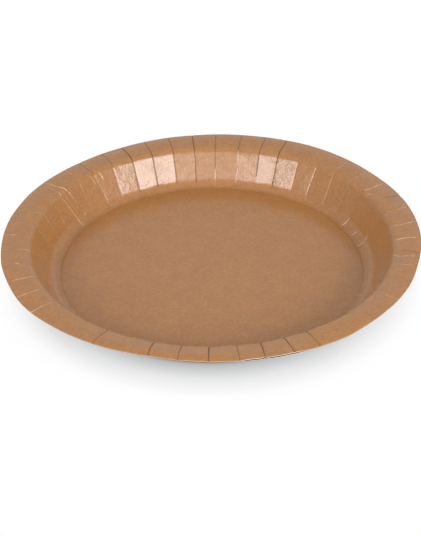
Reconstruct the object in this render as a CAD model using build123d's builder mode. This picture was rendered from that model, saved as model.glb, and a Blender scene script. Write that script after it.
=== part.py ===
from build123d import *
from math import atan2, cos, degrees, radians, sin, tan
import os

# Paper plate, pressed hot from one round sheet of coated kraft board.
# Millimetres, +Z up, origin on the table at the centre of the ring that the plate rests on.
# Board bends one way only, so the rim and wall stay straight from one radial fold to the next.
# The two faces of the press are modelled for one such facet, with half a fold at each side, and
# the board is what lies between them. The facet is then repeated all the way round.

# The board and the overall size
board = 0.5
rim_diameter = 230.0
plate_height = 21.2

# The rim: a flange that climbs from the crest to its crown, and a level lip outside it
flange_width = 15.2
flange_lift = 1.05
lip_width = 6.5
crest_radius = 2.5

# The side wall, and the curve that turns it into the resting ring
wall_angle = 62.0
heel_radius = 6.3

# The resting ring, and the floor raised inside it by a low step
foot_flat = 1.5
step_angle = 45.0
floor_step = 0.6
floor_dome = 0.8
dome_width = 10.0
dome_radius = 60.0

# The folds that take up the slack of the round sheet, the first one nearest the front
pleat_count = 48
first_pleat = -91.7
pleat_depth = 0.55
pleat_width = 1.6

# How far the press faces reach past the plate's edge and above it
press_margin = 3.0

os.makedirs("parts", exist_ok=True)


def fillet_reach(radius, turn):
    """How far a fillet reaches back along the straight runs on each side of its corner."""
    return radius * tan(radians(turn) / 2)


# Slopes of the straight runs in degrees, from the floor out to the lip
pitch = 360 / pleat_count
fold_reach = 1 / cos(radians(pitch / 2))
rim_radius = rim_diameter / 2
flange_angle = degrees(atan2(flange_lift, flange_width - lip_width))
dome_angle = degrees(atan2(floor_dome, dome_width))
slopes = [0, -dome_angle, -step_angle, 0, wall_angle, flange_angle, 0]

# Corners of the board's upper face, worked out from the rim inwards
crown = Vector(rim_radius - lip_width, plate_height)
crest = Vector(rim_radius - flange_width, plate_height - flange_lift)
heel = Vector(crest.X - (crest.Y - board) / tan(radians(wall_angle)), board)
foot = heel - Vector(fillet_reach(heel_radius, wall_angle) + foot_flat, 0)
crease = foot + Vector(-floor_step / tan(radians(step_angle)), floor_step)
dome = crease + Vector(-dome_width, floor_dome)
corners = [dome, crease, foot, heel, crest, crown]
pleated_from = corners.index(crest)

# Corner radii of the upper face, and what each loses for every millimetre down into the board
radii = [dome_radius, 0, 0, heel_radius, crest_radius, 0]
losses = [1, 0, 0, -1, 1, 0]


def sunk(corner, slope_in, slope_out, depth):
    """The same corner on the surface that runs at this depth under the board's upper face."""
    normal_in = Vector(sin(radians(slope_in)), -cos(radians(slope_in)))
    normal_out = Vector(sin(radians(slope_out)), -cos(radians(slope_out)))
    return corner + (normal_in + normal_out) * (depth / (1 + normal_in.dot(normal_out)))


def surface_line(first, depth):
    """Points and fillet radii of the surface at this depth, from one corner out past the rim."""
    places = range(first, len(corners))
    points = [sunk(corners[i], slopes[i], slopes[i + 1], depth) for i in places]
    points.append(Vector(rim_radius + press_margin, plate_height - depth))
    return points, [radii[i] - losses[i] * depth for i in places]


def fold_line(depth):
    """The bottom of one fold at this depth in the board, from the foot of the wall past the rim."""
    points, _ = surface_line(pleated_from, depth + pleat_depth)
    wall_run = Vector(cos(radians(wall_angle)), sin(radians(wall_angle)))
    wall_foot = sunk(heel, wall_angle, wall_angle, depth)
    wall_foot += wall_run * fillet_reach(heel_radius, wall_angle)
    return [Vector(point.X * fold_reach, 0, point.Y) for point in (wall_foot, *points)]


def pleat_blade(depth):
    """The ridge that presses one fold: a V along each straight run of wall, flange and lip."""
    line = fold_line(depth)
    spread = press_margin * pleat_width / 2 / pleat_depth
    with BuildPart() as blade:
        for i, (start, end) in enumerate(zip(line, line[1:])):
            run = (end - start).normalized()
            lead = 0 if i == 0 else press_margin
            with BuildSketch(Plane(start - run * lead, x_dir=(0, 1, 0), z_dir=run)):
                Polygon((0, 0), (spread, press_margin), (-spread, press_margin), align=None)
            extrude(amount=lead + (end - start).length + press_margin)
    return blade.part


def press_facet(depth, top):
    """All that lies above the surface at this depth in the board, from one fold to the next."""
    points, rounds = surface_line(0, depth)
    middle = Vector(0, points[0].Y)
    reach = points[-1].X
    half_width = reach * tan(radians(pitch / 2))
    blade = pleat_blade(depth)
    with BuildPart() as press:
        with BuildSketch(Plane.XZ):
            with BuildLine():
                FilletPolyline(middle, *points, radius=rounds)
                Polyline(points[-1], (reach, top), (0, top), middle)
            make_face()
        extrude(amount=half_width, both=True)
        add(blade.rotate(Axis.Z, pitch / 2))
        add(blade.rotate(Axis.Z, -pitch / 2))
        with BuildSketch():
            Polygon((0, 0), (reach, half_width), (reach, -half_width), align=None)
        extrude(amount=top, mode=Mode.INTERSECT)
    return press.part


def ring_of(sector, count):
    """The sector repeated side by side. Halves are joined first, because that is far quicker."""
    if count == 1:
        return sector
    half = ring_of(sector, count // 2)
    with BuildPart() as ring:
        add(half, clean=False)
        add(half.rotate(Axis.Z, pitch * (count // 2)), clean=False)
        if count % 2:
            add(sector.rotate(Axis.Z, pitch * (count - 1)), clean=False)
    return ring.part


with BuildPart() as facet:
    add(press_facet(board, plate_height + press_margin))
    add(press_facet(0, plate_height + 2 * press_margin), mode=Mode.SUBTRACT)
    with BuildSketch(Plane.XY.offset(-press_margin)):
        Circle(rim_radius)
    extrude(amount=plate_height + 2 * press_margin, mode=Mode.INTERSECT)

with BuildPart() as plate:
    add(ring_of(facet.part, pleat_count), rotation=(0, 0, first_pleat + pitch / 2))
plate.part.label = "plate"
export_step(plate.part, "parts/plate.step")
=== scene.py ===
import math

import bpy
import numpy as np
from mathutils import Matrix, Vector


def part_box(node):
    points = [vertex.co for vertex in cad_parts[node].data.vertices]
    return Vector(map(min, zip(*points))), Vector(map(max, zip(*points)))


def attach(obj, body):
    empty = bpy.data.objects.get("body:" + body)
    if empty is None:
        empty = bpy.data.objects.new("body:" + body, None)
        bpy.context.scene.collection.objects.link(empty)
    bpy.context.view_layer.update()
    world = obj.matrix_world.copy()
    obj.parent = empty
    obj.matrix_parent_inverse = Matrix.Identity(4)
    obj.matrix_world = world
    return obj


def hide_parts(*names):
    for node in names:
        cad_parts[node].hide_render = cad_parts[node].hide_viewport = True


# A pressed paper plate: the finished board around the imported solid. Lengths are in millimetres,
# apart from those of the lamps, the floor and the materials, which are in metres. Angles are in
# degrees round the plate, from +X towards +Y.

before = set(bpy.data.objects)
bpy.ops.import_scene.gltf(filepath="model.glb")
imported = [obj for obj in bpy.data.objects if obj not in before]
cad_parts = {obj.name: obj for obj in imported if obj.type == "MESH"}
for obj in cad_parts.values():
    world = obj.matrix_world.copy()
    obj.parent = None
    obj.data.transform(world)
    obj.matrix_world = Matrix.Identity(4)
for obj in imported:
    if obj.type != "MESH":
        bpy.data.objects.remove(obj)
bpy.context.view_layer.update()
MM = 0.001
rng = np.random.default_rng(4)

# Sizes shared with the solid
low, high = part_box("plate")
RIM = (high.x - low.x) / 2 / MM
HEIGHT = high.z / MM
BOARD = 0.5
FLANGE_WIDTH = 15.2
FLANGE_LIFT = 1.05
LIP_WIDTH = 6.5
WALL_ANGLE = 62.0
HEEL_RADIUS = 6.3
FOOT_FLAT = 1.5
DOME_WIDTH = 10.0
PLEATS = 48
FIRST_PLEAT = -91.7
PITCH = 360 / PLEATS

# Where the section is softer than the solid: the step up to the floor, the crest and the crown
STEP_HEIGHT = 0.3
STEP_ANGLE = 15.0
STEP_SPREAD = 0.4
STEP_FILLET = 3.0
DOME_HEIGHT = 1.1
DOME_FILLET = 90.0
CREST_FILLET = 5.0
CROWN_FILLET = 25.0


def tan_of(angle):
    return math.tan(math.radians(angle))


def smooth(x):
    x = np.clip(x, 0, 1)
    return x * x * (3 - 2 * x)


def bell(x, half_width):
    return np.exp(-((x / half_width) ** 2))


# Section of the board's upper face

def section_corners():
    """Corners of the upper face: radius, height, fillet radius, rows on the fillet, rows after it."""
    crest_r, crest_z = RIM - FLANGE_WIDTH, HEIGHT - FLANGE_LIFT
    heel_r = crest_r - (crest_z - BOARD) / tan_of(WALL_ANGLE)
    foot_r = heel_r - HEEL_RADIUS * tan_of(WALL_ANGLE / 2) - FOOT_FLAT + STEP_SPREAD
    crease_r = foot_r - STEP_HEIGHT / tan_of(STEP_ANGLE)
    crease_z = BOARD + STEP_HEIGHT
    dome_z = crease_z + DOME_HEIGHT
    return [
        (0.0, dome_z, 0, 0, 4),
        (crease_r - DOME_WIDTH, dome_z, DOME_FILLET, 4, 2),
        (crease_r, crease_z, STEP_FILLET, 3, 0),
        (foot_r, BOARD, STEP_FILLET, 3, 0),
        (heel_r, BOARD, HEEL_RADIUS, 8, 14),
        (crest_r, crest_z, CREST_FILLET, 8, 6),
        (RIM - LIP_WIDTH, HEIGHT, CROWN_FILLET, 4, 8),
        (RIM, HEIGHT, 0, 0, 0),
    ]


def section_rows():
    """Radius, height and normal of each row of the upper face, from the innermost out to the rim."""
    corners = section_corners()
    rows = []

    def run(start, end, count, normal):
        for i in range(1, count + 1):
            rows.append((*(start + (end - start) * i / (count + 1)), *normal))

    last = np.array(corners[0][:2])
    rows_after = corners[0][4]
    for i in range(1, len(corners)):
        here = np.array(corners[i][:2])
        way_in = here - np.array(corners[i - 1][:2])
        way_in = way_in / np.linalg.norm(way_in)
        normal_in = np.array([-way_in[1], way_in[0]])
        if i == len(corners) - 1:
            run(last, here, rows_after, normal_in)
            rows.append((*here, *normal_in))
            break
        way_out = np.array(corners[i + 1][:2]) - here
        way_out = way_out / np.linalg.norm(way_out)
        radius, arc_rows = corners[i][2], corners[i][3]
        cross = way_in[0] * way_out[1] - way_in[1] * way_out[0]
        turn = math.atan2(cross, float(way_in @ way_out))
        reach = radius * math.tan(abs(turn) / 2)
        arc_start = here - way_in * reach
        run(last, arc_start, rows_after, normal_in)
        signed = math.copysign(radius, turn)
        middle = arc_start + signed * normal_in
        for j in range(arc_rows + 1):
            c, s = math.cos(turn * j / arc_rows), math.sin(turn * j / arc_rows)
            turned = (normal_in[0] * c - normal_in[1] * s, normal_in[0] * s + normal_in[1] * c)
            rows.append((*(middle - signed * np.array(turned)), *turned))
        last = here + way_out * reach
        rows_after = corners[i][4]
    return np.array(rows)


RADIUS, LEVEL, NORMAL_R, NORMAL_Z = section_rows().T
STATION = np.concatenate([[0], np.cumsum(np.hypot(np.diff(RADIUS), np.diff(LEVEL)))])


def station_at(radius):
    """Distance along the section, from its innermost row to this radius."""
    return np.interp(radius, RADIUS, STATION)


HEEL_R = section_corners()[4][0]
HEEL_REACH = HEEL_RADIUS * tan_of(WALL_ANGLE / 2)
FOOT = station_at(HEEL_R - HEEL_REACH)
CREST = station_at(RIM - FLANGE_WIDTH)
EDGE = STATION[-1]

# What one fold or wrinkle looks like: depth and half-width of its groove, then how much painted
# shade darkens its bottom and how pale its line is, partly worn coat and partly painted highlight, from
# 0 to 1
OPEN_SLIT = (0.35, 0.3, 0.9, 0.0)
CLOSED = (0.25, 0.28, 0.6, 0.0)
SHADED = (0.1, 0.28, 0.6, 0.0)
BRIGHT = (0.12, 0.38, 0.0, 0.9)
WORN_AND_LIT = (0.1, 0.33, 0.0, 0.68)
THIN = (0.06, 0.3, 0.0, 0.42)
SOFT = (0.04, 0.3, 0.0, 0.5)
DRAWN = (0.03, 0.33, 0.72, 0.0)
CREASED = (0.12, 0.3, 0.35, 0.25)
FAINT = (0.08, 0.3, 0.16, 0.08)

# The stretches of a line that show, as radius to radius and look
WALL_FROM, RIM_FROM, RIM_TO = 90.0, 99.6, RIM + 1.5


def rim(look, start=RIM_FROM, end=RIM_TO):
    return [(start, end, look)]


def wall(look, start=WALL_FROM, end=RIM_FROM):
    return [(start, end, look)]


# Folds, counted from the one nearest the front, anticlockwise seen from above: the small shift of
# each in degrees, and its stretches. A fold that isn't here lies in its place and is faint.
FOLDS = {
    0: (0.5, rim(OPEN_SLIT)),
    1: (0.75, rim(CLOSED)),
    2: (0.0, rim(OPEN_SLIT)),
    3: (-0.25, rim(OPEN_SLIT)),
    4: (-0.5, rim(CLOSED)),
    5: (-0.75, rim(FAINT)),
    7: (0.0, rim(CREASED, 104.0)),
    10: (0.0, rim(THIN, 101.0, 113.0)),
    11: (0.0, rim(SHADED, 103.0, 108.0) + rim(OPEN_SLIT, 108.0)),
    12: (0.0, rim(BRIGHT, 100.0, 112.0)),
    13: (0.0, rim(BRIGHT, RIM_FROM, 114.5)),
    14: (0.0, rim(WORN_AND_LIT, 99.0, 114.0) + wall(BRIGHT, 85.0, 92.0)),
    15: (0.0, rim(OPEN_SLIT, 106.0) + wall(BRIGHT, 85.0, 90.0)),
    16: (0.0, rim(BRIGHT, 101.0, 114.0) + wall(BRIGHT, 86.5, 91.5)),
    17: (0.0, rim(THIN, RIM_FROM, 110.0) + wall(SOFT)),
    18: (0.0, rim(THIN, RIM_FROM, 112.0) + wall(SOFT)),
    19: (0.25, rim(FAINT) + wall(SOFT)),
    20: (0.0, rim(FAINT) + wall(SOFT)),
    21: (0.25, rim(OPEN_SLIT) + wall(DRAWN)),
    22: (-0.5, rim(CLOSED) + wall(DRAWN, 93.0)),
    23: (-0.5, rim(CLOSED) + wall(SOFT)),
    24: (0.0, rim(CLOSED) + wall(DRAWN, 94.0) + wall(SOFT, 88.0, 93.5)),
    25: (-0.25, rim(OPEN_SLIT) + wall(DRAWN)),
    26: (-0.25, rim(CLOSED) + wall(DRAWN)),
    27: (-0.25, rim(CLOSED) + wall(DRAWN)),
    28: (-0.25, rim(OPEN_SLIT) + wall(DRAWN)),
    29: (0.0, rim(SHADED) + wall(THIN)),
    30: (0.0, rim(SHADED) + wall(THIN)),
    31: (0.0, rim(FAINT) + wall(THIN, 97.5, 99.0)),
    32: (0.0, rim(WORN_AND_LIT, 94.5, 114.5)),
    34: (0.0, wall(THIN, 93.5, 102.5)),
    36: (0.0, rim(WORN_AND_LIT, 108.5, 114.0)),
    37: (0.0, rim(THIN, RIM_FROM, 106.0) + rim(THIN, 111.5, 114.5)),
    38: (0.0, rim(WORN_AND_LIT, 106.0, 108.0)),
    39: (0.25, rim(WORN_AND_LIT, 101.0, 112.0)),
    40: (0.0, rim(WORN_AND_LIT, 103.0, 115.0)),
    41: (0.25, rim(THIN, 103.0, 110.0) + rim(BRIGHT, 110.0, 116.0)),
    44: (0.0, rim(CLOSED)),
    45: (-0.5, rim(FAINT)),
    46: (0.0, rim(OPEN_SLIT)),
    47: (0.25, rim(CLOSED)),
}

# Folds that wander: how many degrees each one strays from its place at the foot of the wall, low
# on the wall, at the crest, half way out the rim, and at the cut edge
BEND_RADII = [86.0, 92.0, 99.0, 106.0, 115.0]
BENDS = {
    2: [0.0, 0.0, 0.25, 0.0, -0.5],
    7: [0.0, 0.0, 0.25, 0.5, 0.25],
    11: [0.0, 0.0, 0.25, 0.0, -1.0],
    12: [0.0, 0.0, -1.5, -0.75, -0.75],
    13: [0.0, 0.0, -0.75, -0.75, 0.5],
    14: [0.0, 1.5, -0.5, 0.0, 1.25],
    15: [0.25, 0.5, 0.5, 0.75, 0.0],
    16: [0.5, 0.5, 0.0, 0.0, 0.75],
    17: [0.25, 0.5, 0.0, 0.25, 0.5],
    18: [0.0, 0.0, 0.25, 0.75, 1.0],
    19: [0.0, 0.5, 0.0, 0.0, 0.0],
    29: [-0.5, 0.0, 0.0, -0.5, -0.75],
    30: [-1.0, -0.75, 0.5, 0.75, 0.25],
    32: [-4.0, -4.0, -1.25, 0.0, 0.0],
    46: [0.0, 0.0, 0.0, -0.25, 0.25],
}

# Wrinkles between the folds, as angle and radius, and their stretches. A path of one point runs
# straight out.
WRINKLES = [
    ([(-41.5, 109.0)], rim(CREASED, 108.5)),
    ([(-33.5, 109.0)], rim(THIN, 107.5, 115.0)),
    ([(-11.5, 100.0), (-12.5, 103.0), (-12.0, 112.0)], rim(WORN_AND_LIT, 100.0, 112.0)),
    ([(131.0, 97.0), (132.0, 100.0)], wall(WORN_AND_LIT, 97.0, 100.0)),
    ([(134.5, 96.5), (136.0, 100.5)], wall(THIN, 96.5, 100.5)),
    ([(148.0, 95.5), (149.0, 98.0), (148.5, 101.0), (149.5, 106.0)], wall(THIN, 95.5, 101.0)),
    (
        [(148.5, 87.0), (148.5, 91.0), (151.0, 98.5), (150.0, 102.0), (150.5, 110.5)],
        wall(WORN_AND_LIT, 87.0, 102.0) + rim(THIN, 104.0, 110.5),
    ),
    ([(-157.0, 113.0), (-156.5, 116.0)], rim(WORN_AND_LIT, 113.0, 116.0)),
    ([(164.0, 100.0), (164.5, 104.0)], rim(THIN, 100.0, 104.0)),
    ([(26.0, 100.0), (25.0, 102.0)], rim(BRIGHT, 99.5, 102.5)),
    ([(24.0, 100.0), (23.5, 102.0)], rim(WORN_AND_LIT, 99.5, 102.0)),
]


def fold_line(k):
    """Path and stretches of one fold."""
    shift, stretches = FOLDS.get(k, (0.0, rim(FAINT)))
    place = FIRST_PLEAT + PITCH * k + shift
    strays = BENDS.get(k, [0.0] * len(BEND_RADII))
    return [(place + stray, radius) for stray, radius in zip(strays, BEND_RADII)], stretches


# Notches in the cut edge, at the ends of these folds: depth and half-width. The rows behind the
# edge are drawn in with it, over the reach.
NOTCHES = {
    2: (0.8, 0.5),
    4: (0.3, 0.4),
    7: (0.4, 0.4),
    11: (0.8, 0.45),
    15: (0.6, 0.45),
    25: (0.35, 0.4),
    46: (0.5, 0.4),
}
NOTCH_REACH = 2.5

# Warps of the rim: angle, half-width in degrees, rise of the edge
WARPS = [
    (-146, 17, -1.7),
    (-57, 9, -1.1),
    (-104, 11, 0.45),
    (68, 20, 0.45),
    (120, 16, -0.5),
    (25, 13, -0.9),
]

# How far the rim spreads or draws in: angle, half-width in degrees, reach of the edge. It grows from
# the radius given below.
SPREADS = [
    (-166, 9, 0.9),
    (-150, 9, 1.1),
    (-105, 14, -0.95),
    (-89, 7, -0.5),
    (-73, 4, 0.4),
    (-60, 5, -0.35),
    (-15, 8, -0.8),
    (24, 13, 1.15),
    (55, 16, 1.25),
    (84, 12, 0.5),
    (105, 6, 0.4),
    (138, 15, -1.05),
    (162, 5, -0.4),
]
SPREAD_FROM = 99.0

# Where the cut edge has split and its upper ply has lifted: its two ends and the degrees over which
# it opens and closes, rise and depth, how worn the coat is there, how torn the ply and how dark the
# painted shadow in the opened seam under it, and how far in from the edge the lifted ply reaches
SPLIT_FROM, SPLIT_TO = -84.0, -64.0
SPLIT_OPENS, SPLIT_CLOSES = 3.0, 7.0
SPLIT_RISE = 0.6
SPLIT_DEPTH = 1.0
SPLIT_WORN = 0.4
SPLIT_TORN_AND_SHADOW = 2.0
LIFT_REACH = 3.0

# The cut edge: thickness of its upper ply, and the half-width and depth of the seam under it
PLY = BOARD * 0.6
SEAM_HALF = 0.03
SEAM_DEPTH = 0.04

# The lip curls down over the last stretch of the rim
LIP_CURL = 0.35
CURL_WIDTH = 5.0

# Flat panels between the folds. They begin over a stretch of the heel. Each may tip on the wall, less
# so on the rim, and lean on the rim, by up to so much at random.
PANELS_BEGIN = 9.0
PANEL_TILT = 0.16
RIM_STEADIES = 0.8
PANEL_LEAN = 0.03

# Grooves: how gently they end and open out, how much shallower they are at the rim, and the thin
# painted shade beside a pale line
GROOVE_FADE = 1.2
GROOVE_SPREAD = 1.2
GROOVE_POWER = 1.6
SHALLOWER = 0.5
SHADE_BESIDE, SHADE_HALF, SHADE_DEPTH = 0.5, 0.25, 0.3

# Unevenness of the board: wavelength and height, everywhere but near the resting ring
BROAD_RIPPLE = (16.0, 0.03)
FINE_RIPPLE = (5.0, 0.008)
CALM_PLACE, CALM_WIDTH = 0.5, 6.0

# And along the crest, within some distance of it
CREST_RIPPLE = (9.0, 0.05)
CREST_WIDTH = 5.0


# The grid of the mesh: some columns follow each fold or wrinkle, close together, and a few more
# fill the room to the next one. The steps are millimetres across a line, at the grid's radius.

LINE_STEPS = [0.14, 0.3, 0.52, 0.95, 1.7]
LEAST_ROOM = 1.0
BETWEEN = 3
GRID_RADIUS = 106.0
SWAY = 2.0


def line_angles(path):
    """Angle of a line at each row, a full turn kept in one piece from the first fold on."""
    angles, radii = zip(*path)
    start = FIRST_PLEAT - SWAY
    return np.interp(RADIUS, radii, [(a - FIRST_PLEAT + SWAY) % 360 + start for a in angles])


def sorted_lines():
    """Angles and stretches of every fold and wrinkle, in order round the plate."""
    paths = [fold_line(k) for k in range(PLEATS)] + WRINKLES
    lines = [(line_angles(path), stretches) for path, stretches in paths]
    at_rim = np.searchsorted(RADIUS, GRID_RADIUS)
    return sorted(lines, key=lambda line: line[0][at_rim])


def grid_angles(lines):
    """Angle of every vertex, row by row, with columns that follow the lines."""
    columns = []
    for (here, _), (there, _) in zip(lines, lines[1:] + [(lines[0][0] + 360, None)]):
        turn = float(np.mean((there - here)[RADIUS > WALL_FROM]))
        room = math.radians(turn) * GRID_RADIUS
        squeeze = min(1.0, room / (2 * LINE_STEPS[-1] + LEAST_ROOM))
        near = [step * squeeze / room for step in LINE_STEPS]
        middle = np.linspace(near[-1], 1 - near[-1], BETWEEN + 2)[1:-1]
        shares = [0.0, *near, *middle, *(1 - share for share in near[::-1])]
        columns += [here + share * (there - here) for share in shares]
    return np.array(columns).T


LINES = sorted_lines()
ANGLES = grid_angles(LINES)
TURN = np.radians(ANGLES)
ACROSS = ANGLES.shape[1]
EDGE_ANGLES = ANGLES[-1]

# Radius and station as columns. Then how much each row belongs to the wall, which begins over a
# stretch of the heel, and how far it is on its way out the rim.
ROW_R, ROW_S = RADIUS[:, None], STATION[:, None]
WALL_BEGINS, WALL_GROWS = 3.5, 7.0
ON_WALL = smooth((ROW_S - FOOT - WALL_BEGINS) / WALL_GROWS)
ON_RIM = smooth((ROW_S - CREST) / (EDGE - CREST))


def turn_from(angles, angle):
    """Signed angle from one direction to others, in degrees."""
    return (angles - angle + 180) % 360 - 180


WAVES = 14
WAVE_SPREAD = (0.7, 1.5)


def ripple(wavelength, height):
    """A low unevenness of the board, the same each time the script is run."""
    field = np.zeros(ANGLES.shape)
    x, y = ROW_S * np.cos(TURN), ROW_S * np.sin(TURN)
    for _ in range(WAVES):
        heading, phase = rng.uniform(0, 2 * math.pi, 2)
        scale = 2 * math.pi / (wavelength * rng.uniform(*WAVE_SPREAD))
        field += np.sin((x * math.cos(heading) + y * math.sin(heading)) * scale + phase)
    return field * height / math.sqrt(WAVES / 2)


def place_between_folds():
    """Which panel each vertex is on, and how far across it, from -1 to 1."""
    borders = np.array([line_angles(fold_line(k)[0]) for k in range(PLEATS)]).T
    borders = np.hstack([borders, borders[:, :1] + 360])
    passed = [np.searchsorted(row, angles, side="right") for row, angles in zip(borders, ANGLES)]
    panel = np.clip(np.array(passed) - 1, 0, PLEATS - 1)
    before = np.take_along_axis(borders, panel, axis=1)
    after = np.take_along_axis(borders, panel + 1, axis=1)
    return panel, 2 * (ANGLES - before) / (after - before) - 1


def flat_panels():
    """How far to push each vertex so that the panels are flat, each tipped a little its own way."""
    panel, across = place_between_folds()
    sag = ROW_R * (1 - math.cos(math.radians(PITCH / 2)))
    push = sag * NORMAL_R[:, None] * across ** 2 * smooth((ROW_S - FOOT) / PANELS_BEGIN)
    tilt = rng.uniform(-PANEL_TILT, PANEL_TILT, PLEATS)
    push = push + tilt[panel] * across * ON_WALL * (1 - RIM_STEADIES * ON_RIM)
    lean = rng.uniform(-PANEL_LEAN, PANEL_LEAN, PLEATS)
    return push + lean[panel] * ON_RIM


def with_grooves(push):
    """Adds the grooves of folds and wrinkles, and gives the painted shade in them and how pale their
    lines are, partly worn coat and partly painted highlight.
    """
    painted_shade = np.zeros(ANGLES.shape)
    wear_highlight_and_split = np.zeros(ANGLES.shape)
    for angles, stretches in LINES:
        beside = np.radians(turn_from(ANGLES, angles[:, None])) * ROW_R
        gap = np.abs(beside)
        for start, end, (depth, half, darker, paler) in stretches:
            shown = smooth((ROW_R - start) / GROOVE_FADE + 0.5)
            shown = shown * smooth((end - ROW_R) / GROOVE_FADE + 0.5)
            groove = np.exp(-((gap / half / GROOVE_SPREAD) ** GROOVE_POWER))
            push = push - depth * groove * shown * (1 - SHALLOWER * ON_RIM)
            # Painted shade along the bottom of the groove
            painted_shade = np.maximum(painted_shade, bell(gap, half) * shown * darker)
            # Painted shade beside a pale line
            shade = bell(beside + SHADE_BESIDE, SHADE_HALF) * shown * paler * SHADE_DEPTH
            painted_shade = np.maximum(painted_shade, shade)
            # Pale line along the groove: partly worn coat, partly painted highlight
            wear_highlight_and_split = np.maximum(wear_highlight_and_split, bell(gap, half) * shown * paler)
    return push, painted_shade, wear_highlight_and_split


def board_shape():
    """Displacement of each vertex along its normal, the painted shade of the folds, and how pale their
    lines are, partly worn coat and partly painted highlight.
    """
    push, painted_shade, wear_highlight_and_split = with_grooves(flat_panels())
    for angle, half, rise in WARPS:
        push = push + rise * bell(turn_from(ANGLES, angle), half) * ON_RIM
    push = push - LIP_CURL * np.clip((ROW_S - EDGE + CURL_WIDTH) / CURL_WIDTH, 0, 1) ** 2
    off_ring = smooth(np.abs(ROW_S - FOOT - CALM_PLACE) / CALM_WIDTH)
    push = push + (ripple(*BROAD_RIPPLE) + ripple(*FINE_RIPPLE)) * off_ring
    push = push + ripple(*CREST_RIPPLE) * bell(ROW_S - CREST, CREST_WIDTH)
    return push, painted_shade, wear_highlight_and_split


def drawn_in():
    """How far each vertex is drawn in by the notches and by the spread of the rim."""
    notch = np.zeros(ACROSS)
    for k, (depth, half) in NOTCHES.items():
        end_of_fold = fold_line(k)[0][-1][0]
        beside = np.radians(turn_from(EDGE_ANGLES, end_of_fold)) * RIM
        notch = np.maximum(notch, depth * bell(beside, half))
    inward = notch * np.clip((ROW_S - EDGE + NOTCH_REACH) / NOTCH_REACH, 0, 1)
    outer = smooth((ROW_R - SPREAD_FROM) / (RIM - SPREAD_FROM))
    for angle, half, reach in SPREADS:
        inward = inward - reach * bell(turn_from(ANGLES, angle), half) * outer
    return inward


def split_edge():
    """How open the split is at each column, from 0 to 1, and how far the upper ply has lifted."""
    split = smooth((EDGE_ANGLES - SPLIT_FROM) / SPLIT_OPENS)
    split = split * smooth((SPLIT_TO - EDGE_ANGLES) / SPLIT_CLOSES)
    return split, SPLIT_RISE * split * np.clip((ROW_S - EDGE + LIFT_REACH) / LIFT_REACH, 0, 1) ** 2


# Materials by number, in the order in which the mesh has them
COATED, UNDERSIDE, CUT, SPLIT = range(4)

# Faces that meet at more than this angle look sharp
SHARP_ANGLE = 50

# Rows of the upper face, of the cut edge, and of the lower face, which has every second one
UPPER_ROWS = np.arange(len(RADIUS))
EDGE_ROW = UPPER_ROWS[-1:]
LOWER_ROWS = UPPER_ROWS[::-2]


def board_bands(push, split, lift):
    """Points of the upper face, the three rings of the cut edge and the lower face, in that order.
    With each comes the material of the faces that lead to it and of those within it."""
    inward = drawn_in()
    no_lift = np.zeros_like(lift)

    def points_at(picked, depth, raised, recess=0.0):
        along = push[picked] - depth + raised[picked]
        reach = RADIUS[picked, None] + along * NORMAL_R[picked, None] - inward[picked] - recess
        level = np.maximum(LEVEL[picked, None] + along * NORMAL_Z[picked, None], 0.0)
        turn = TURN[picked]
        return np.stack([reach * np.cos(turn), reach * np.sin(turn), level], -1).reshape(-1, 3)

    seam = SEAM_DEPTH + SPLIT_DEPTH * split[None, :]
    return [
        (points_at(UPPER_ROWS, 0.0, lift), None, COATED),
        (points_at(EDGE_ROW, PLY - SEAM_HALF, lift), CUT, None),
        (points_at(EDGE_ROW, PLY, lift * 0.5, seam), SPLIT, None),
        (points_at(EDGE_ROW, PLY + SEAM_HALF, no_lift), SPLIT, None),
        (points_at(LOWER_ROWS, BOARD, no_lift), CUT, UNDERSIDE),
    ]


def joined_faces(bands, point_count):
    """Faces from each row of points to the next, the last two points closing the middle of both
    faces of the board, and the material of each."""
    by_row = []
    for points, leading, within in bands:
        rows = len(points) // ACROSS
        if leading is not None:
            by_row.append(leading)
        by_row += [within] * (rows - 1)
    faces, slots = [], []
    for row, slot in enumerate(by_row):
        a, b = row * ACROSS, (row + 1) * ACROSS
        for c in range(ACROSS):
            d = (c + 1) % ACROSS
            faces.append((a + c, b + c, b + d, a + d))
        slots += [slot] * ACROSS
    top_middle, bottom_middle = point_count - 2, point_count - 1
    last = point_count - 2 - ACROSS
    for c in range(ACROSS):
        d = (c + 1) % ACROSS
        faces += [(top_middle, c, d), (bottom_middle, last + d, last + c)]
        slots += [COATED, UNDERSIDE]
    return faces, slots


def build_plate():
    """The plate as one closed sheet: upper face, cut edge and lower face."""
    push, painted_shade, wear_highlight_and_split = board_shape()
    split, lift = split_edge()
    wear_highlight_and_split[-1] = np.maximum(wear_highlight_and_split[-1], SPLIT_WORN * split)
    bands = board_bands(push, split, lift)
    middles = [[0, 0, LEVEL[0]], [0, 0, LEVEL[0] - BOARD]]
    points = np.concatenate([band[0] for band in bands] + [middles])
    faces, slots = joined_faces(bands, len(points))
    mesh = bpy.data.meshes.new("pressed_plate")
    mesh.from_pydata((points * MM).tolist(), [], faces)
    mesh.polygons.foreach_set("material_index", slots)
    mesh.polygons.foreach_set("use_smooth", [True] * len(faces))
    # Painted shade of the folds, then pale lines, partly worn coat and partly painted highlight; on the
    # cut edge the second says how torn the ply is and how dark the painted shadow in the opened seam
    for name, field, on_edge in (("painted_shade", painted_shade, painted_shade[-1]), ("wear_highlight_and_split", wear_highlight_and_split, SPLIT_TORN_AND_SHADOW * split)):
        upper, lower = field.reshape(-1), field[LOWER_ROWS].reshape(-1)
        values = np.concatenate([upper, on_edge, on_edge, on_edge, lower, [0, 0]])
        mesh.attributes.new(name, "FLOAT", "POINT").data.foreach_set("value", values)
    mesh.set_sharp_from_angle(angle=math.radians(SHARP_ANGLE))
    mesh.update()
    plate = bpy.data.objects.new("pressed_plate", mesh)
    bpy.context.scene.collection.objects.link(plate)
    return plate


# Materials

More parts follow.
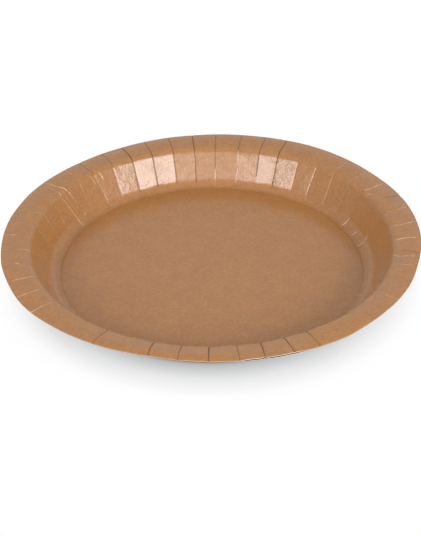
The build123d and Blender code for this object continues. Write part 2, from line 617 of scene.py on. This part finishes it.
def nodes_of(name):
    material = bpy.data.materials.new(name)
    material.use_nodes = True
    tree = material.node_tree
    tree.nodes.clear()
    output = tree.nodes.new("ShaderNodeOutputMaterial")
    shader = tree.nodes.new("ShaderNodeBsdfPrincipled")
    tree.links.new(shader.outputs[0], output.inputs[0])
    return material, tree, shader


def noise(tree, source, scale, detail=2.0, roughness=0.5):
    node = tree.nodes.new("ShaderNodeTexNoise")
    node.inputs["Scale"].default_value = scale
    node.inputs["Detail"].default_value = detail
    node.inputs["Roughness"].default_value = roughness
    tree.links.new(source, node.inputs["Vector"])
    return node.outputs["Fac"]


def ramp(tree, source, stops):
    node = tree.nodes.new("ShaderNodeValToRGB")
    while len(node.color_ramp.elements) < len(stops):
        node.color_ramp.elements.new(0.5)
    for element, (place, colour) in zip(node.color_ramp.elements, stops):
        element.position = place
        element.color = (*colour, 1) if isinstance(colour, tuple) else (colour, colour, colour, 1)
    tree.links.new(source, node.inputs[0])
    return node.outputs[0]


def connect(tree, value, socket):
    if isinstance(value, bpy.types.NodeSocket):
        tree.links.new(value, socket)
    elif isinstance(value, tuple):
        socket.default_value = (*value, 1)
    else:
        socket.default_value = value


def blend_colour(tree, mode, factor, first, second):
    node = tree.nodes.new("ShaderNodeMix")
    node.data_type = "RGBA"
    node.blend_type = mode
    for socket, value in ((node.inputs[0], factor), (node.inputs[6], first), (node.inputs[7], second)):
        connect(tree, value, socket)
    return node.outputs[2]


def times(tree, shade, other):
    return blend_colour(tree, "MULTIPLY", 1.0, shade, other)


def maths(tree, operation, first, second):
    node = tree.nodes.new("ShaderNodeMath")
    node.operation = operation
    connect(tree, first, node.inputs[0])
    connect(tree, second, node.inputs[1])
    return node.outputs[0]


def attribute(tree, name):
    node = tree.nodes.new("ShaderNodeAttribute")
    node.attribute_name = name
    return node.outputs["Fac"]


def bump(tree, height, distance, normal=None):
    node = tree.nodes.new("ShaderNodeBump")
    node.inputs["Strength"].default_value = 1.0
    node.inputs["Distance"].default_value = distance
    tree.links.new(height, node.inputs["Height"])
    if normal:
        tree.links.new(normal, node.inputs["Normal"])
    return node.outputs[0]


# Colours of the board, and ramps that say how much a noise, from 0 to 1, darkens or tints them
COAT_BROWN = (0.374, 0.156, 0.036)
BARE_BROWN = (0.36, 0.18, 0.08)
CORE = (0.5, 0.32, 0.18)
TORN_PLY = (0.9, 0.74, 0.55)
# Painted shadow in the opened seam under the lifted ply
SPLIT_SHADOW = (0.08, 0.04, 0.02)
# Painted shade in the folds
FOLD_SHADE = (0.11, 0.042, 0.014)
# Pale lines along the folds: partly worn coat, partly painted highlight
WORN_COAT_AND_HIGHLIGHT = (0.72, 0.52, 0.34)
MOTTLE_SHARE = 0.05
TINTS = [(0.35, (1.0, 0.975, 0.92)), (0.65, (0.985, 1.0, 1.0))]
GRAIN_SHADES = [(0.35, 0.88), (0.65, 1.08)]
SPECK_SHADES = [(0.2, 0.82), (0.27, 1.0)]
WEAR_AND_HIGHLIGHT_SHARES = [(0.38, 0.25), (0.62, 1.0)]
FIBRE_SHADES = [(0.3, 0.75), (0.7, 1.0)]

# Scales of the noises
MOTTLE, TINT, WEAR_AND_HIGHLIGHT, GRAIN, SPECKS, FIBRES = 150, 330, 420, 650, 1300, 1500

# Dents of the coat: scale of the noise and depth
BROAD_DENTS = (260, 0.00016)
FINE_DENTS = (1100, 0.00005)

# Gloss of the board, less in the folds
COAT_ROUGHNESS = 0.22
COATED_ROUGHNESS = 0.42
BARE_ROUGHNESS = 0.6
FOLD_ROUGHER = 0.5
EDGE_ROUGHNESS = 0.9
EDGE_SPECULAR = 0.2


def kraft(name, colour, roughness, coat):
    """Mottled kraft board under a thin clear coat, with painted shade in the folds and pale lines along
    them, partly worn coat and partly painted highlight.
    """
    material, tree, shader = nodes_of(name)
    place = tree.nodes.new("ShaderNodeTexCoord").outputs["Object"]
    mottle = noise(tree, place, MOTTLE, 3)
    grain = noise(tree, place, GRAIN, 3, 0.6)
    specks = noise(tree, place, SPECKS, 1)
    tint = noise(tree, place, TINT, 2)
    darker = tuple(c * (1 - MOTTLE_SHARE) for c in colour)
    lighter = tuple(c * (1 + MOTTLE_SHARE) for c in colour)
    shade = ramp(tree, mottle, [(0.32, darker), (0.68, lighter)])
    shade = times(tree, shade, ramp(tree, tint, TINTS))
    shade = times(tree, shade, ramp(tree, grain, GRAIN_SHADES))
    shade = times(tree, shade, ramp(tree, specks, SPECK_SHADES))
    # Pale lines, partly worn coat and partly painted highlight, broken into patches
    patchy = ramp(tree, noise(tree, place, WEAR_AND_HIGHLIGHT, 2), WEAR_AND_HIGHLIGHT_SHARES)
    wear_highlight_and_split = maths(tree, "MULTIPLY", attribute(tree, "wear_highlight_and_split"), patchy)
    shade = blend_colour(tree, "MIX", wear_highlight_and_split, shade, WORN_COAT_AND_HIGHLIGHT)
    # Painted shade in the folds, with more roughness and less coat there
    painted_shade = attribute(tree, "painted_shade")
    shade = blend_colour(tree, "MIX", painted_shade, shade, FOLD_SHADE)
    rougher = maths(tree, "MULTIPLY", painted_shade, FOLD_ROUGHER)
    uncovered = maths(tree, "SUBTRACT", 1.0, painted_shade)
    tree.links.new(shade, shader.inputs["Base Color"])
    tree.links.new(maths(tree, "ADD", rougher, roughness), shader.inputs["Roughness"])
    tree.links.new(maths(tree, "MULTIPLY", uncovered, coat), shader.inputs["Coat Weight"])
    shader.inputs["Coat Roughness"].default_value = COAT_ROUGHNESS
    broad_scale, broad_depth = BROAD_DENTS
    fine_scale, fine_depth = FINE_DENTS
    dents = bump(tree, noise(tree, place, broad_scale, 2), broad_depth)
    dents = bump(tree, noise(tree, place, fine_scale, 2), fine_depth, dents)
    tree.links.new(dents, shader.inputs["Normal"])
    tree.links.new(dents, shader.inputs["Coat Normal"])
    return material


def board_core(name, colour, split_colour):
    """The cut edge: paler than the coated face, and fibrous, and in the given colour where it has
    split: the pale torn ply on the cut faces, a painted shadow on the faces of the opened seam.
    """
    material, tree, shader = nodes_of(name)
    place = tree.nodes.new("ShaderNodeTexCoord").outputs["Object"]
    fibres = noise(tree, place, FIBRES, 3, 0.6)
    shade = blend_colour(tree, "MIX", attribute(tree, "wear_highlight_and_split"), colour, split_colour)
    shade = times(tree, shade, ramp(tree, fibres, FIBRE_SHADES))
    tree.links.new(shade, shader.inputs["Base Color"])
    shader.inputs["Roughness"].default_value = EDGE_ROUGHNESS
    shader.inputs["Specular IOR Level"].default_value = EDGE_SPECULAR
    return material


# Floor, light and camera

# How bright the white room is: for light that scatters, and mirrored in the gloss, from the
# horizon, at 0, to straight up, at 1
WORLD_DIFFUSE = 0.735
WORLD_MIRRORED = [(0.1, 0.5), (0.36, 0.7), (0.55, 0.6), (0.72, 0.5), (0.85, 0.75)]

# How white the floor is, by how open it is to the room, from 0 to 1, within a short reach
FLOOR_HALF = 6.0
FLOOR_COLOUR = (0.9, 0.91, 0.92)
SHADOW_REACH = 0.023
SHADOW_SHADES = [
    (0.18, (0.37, 0.38, 0.385)),
    (0.26, (0.465, 0.475, 0.48)),
    (0.5, 0.835),
    (0.62, 0.905),
    (0.78, 0.95),
    (0.985, 1.0),
]


def white_where_seen(tree, other, seen):
    """One shader for light on its way, and another for what the camera sees."""
    path = tree.nodes.new("ShaderNodeLightPath")
    mix = tree.nodes.new("ShaderNodeMixShader")
    tree.links.new(path.outputs["Is Camera Ray"], mix.inputs[0])
    tree.links.new(other, mix.inputs[1])
    tree.links.new(seen, mix.inputs[2])
    return mix.outputs[0]


def floor_material():
    """White paper, seen as plain white that darkens only where the object hides it from the light."""
    material, tree, shader = nodes_of("floor_white")
    shader.inputs["Base Color"].default_value = (*FLOOR_COLOUR, 1)
    shader.inputs["Roughness"].default_value = 0.9
    shader.inputs["Specular IOR Level"].default_value = 0.0
    hidden = tree.nodes.new("ShaderNodeAmbientOcclusion")
    hidden.samples = 16
    hidden.inputs["Distance"].default_value = SHADOW_REACH
    glow = tree.nodes.new("ShaderNodeEmission")
    tree.links.new(ramp(tree, hidden.outputs["AO"], SHADOW_SHADES), glow.inputs[0])
    output = next(node for node in tree.nodes if node.type == "OUTPUT_MATERIAL")
    tree.links.new(white_where_seen(tree, shader.outputs[0], glow.outputs[0]), output.inputs[0])
    return material


def make_floor():
    mesh = bpy.data.meshes.new("floor")
    signs = [(-1, -1), (1, -1), (1, 1), (-1, 1)]
    mesh.from_pydata([(x * FLOOR_HALF, y * FLOOR_HALF, 0) for x, y in signs], [], [(0, 1, 2, 3)])
    mesh.materials.append(floor_material())
    floor = bpy.data.objects.new("floor", mesh)
    bpy.context.scene.collection.objects.link(floor)


def make_world():
    world = bpy.data.worlds.new("studio")
    bpy.context.scene.world = world
    world.use_nodes = True
    tree = world.node_tree
    tree.nodes.clear()
    output = tree.nodes.new("ShaderNodeOutputWorld")
    path = tree.nodes.new("ShaderNodeLightPath")
    towards = tree.nodes.new("ShaderNodeSeparateXYZ")
    tree.links.new(tree.nodes.new("ShaderNodeTexCoord").outputs["Generated"], towards.inputs[0])
    by_height = ramp(tree, towards.outputs["Z"], WORLD_MIRRORED)
    mirrored = maths(tree, "MULTIPLY", path.outputs["Is Glossy Ray"], by_height)
    diffused = maths(tree, "MULTIPLY", path.outputs["Is Diffuse Ray"], WORLD_DIFFUSE)
    light = tree.nodes.new("ShaderNodeBackground")
    light.inputs[0].default_value = (1, 1, 1, 1)
    strength = maths(tree, "MAXIMUM", mirrored, diffused)
    strength = maths(tree, "MAXIMUM", strength, path.outputs["Is Camera Ray"])
    tree.links.new(strength, light.inputs[1])
    tree.links.new(light.outputs[0], output.inputs[0])


# Lamps: azimuth and elevation, distance, width and height, and radiance of the face
RIGHT_SOFTBOX = (-48, 24, 1.3, 0.67, 0.42, 11.0)
LEFT_SOFTBOX = (-130, 24, 1.3, 0.54, 0.42, 8.4)
FRONT_SOFTBOX = (-90, 22, 1.5, 1.6, 0.4, 2.8)


def softbox(name, azimuth, elevation, distance, width, height, radiance, gloss_only=False):
    """A plain soft lamp that faces the plate, as bright as radiance says over its whole face."""
    lamp = bpy.data.lights.new(name, "AREA")
    lamp.shape = "RECTANGLE"
    lamp.size = width
    lamp.size_y = height
    lamp.energy = radiance * math.pi * width * height
    box = bpy.data.objects.new(name, lamp)
    a, e = math.radians(azimuth), math.radians(elevation)
    away = Vector((math.cos(a) * math.cos(e), math.sin(a) * math.cos(e), math.sin(e)))
    box.location = away * distance
    box.rotation_euler = away.to_track_quat("Z", "Y").to_euler()
    box.visible_diffuse = not gloss_only
    bpy.context.scene.collection.objects.link(box)


def make_lights():
    make_world()
    softbox("right_softbox", *RIGHT_SOFTBOX)
    softbox("left_softbox", *LEFT_SOFTBOX)
    softbox("front_softbox", *FRONT_SOFTBOX, gloss_only=True)


CAMERA_DISTANCE = 865.0
CAMERA_ELEVATION = 33.7
CAMERA_ROLL = -0.72
CAMERA_AIM = (-0.83, 0.0, -0.35)
FOCAL_PIXELS = 1550.0
IMAGE_LONG_SIDE = 536
SENSOR = 36.0


def make_camera():
    data = bpy.data.cameras.new("photo_camera")
    data.sensor_width = SENSOR
    data.lens = FOCAL_PIXELS * SENSOR / IMAGE_LONG_SIDE
    data.clip_start = 0.01
    data.clip_end = 50
    camera = bpy.data.objects.new("photo_camera", data)
    e, roll = math.radians(CAMERA_ELEVATION), math.radians(CAMERA_ROLL)
    back = Vector((0, -math.cos(e), math.sin(e)))
    right = Vector((1, 0, 0))
    up = Vector((0, math.sin(e), math.cos(e)))
    tilted_right = right * math.cos(roll) + up * math.sin(roll)
    tilted_up = up * math.cos(roll) - right * math.sin(roll)
    turn = Matrix((tilted_right, tilted_up, back)).transposed().to_4x4()
    place = (Vector(CAMERA_AIM) + back * CAMERA_DISTANCE) * MM
    camera.matrix_world = Matrix.Translation(place) @ turn
    bpy.context.scene.collection.objects.link(camera)
    bpy.context.scene.camera = camera


bpy.context.scene.view_settings.view_transform = "Standard"
make_camera()
make_lights()
make_floor()

plate = build_plate()
plate.data.materials.append(kraft("coated_kraft", COAT_BROWN, COATED_ROUGHNESS, coat=1.0))
plate.data.materials.append(kraft("kraft_underside", BARE_BROWN, BARE_ROUGHNESS, coat=0.0))
plate.data.materials.append(board_core("cut_edge", CORE, TORN_PLY))
# Faces of the seam under the split, with painted shadow where it has opened
plate.data.materials.append(board_core("split_edge", CORE, SPLIT_SHADOW))
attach(plate, "root")
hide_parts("plate")
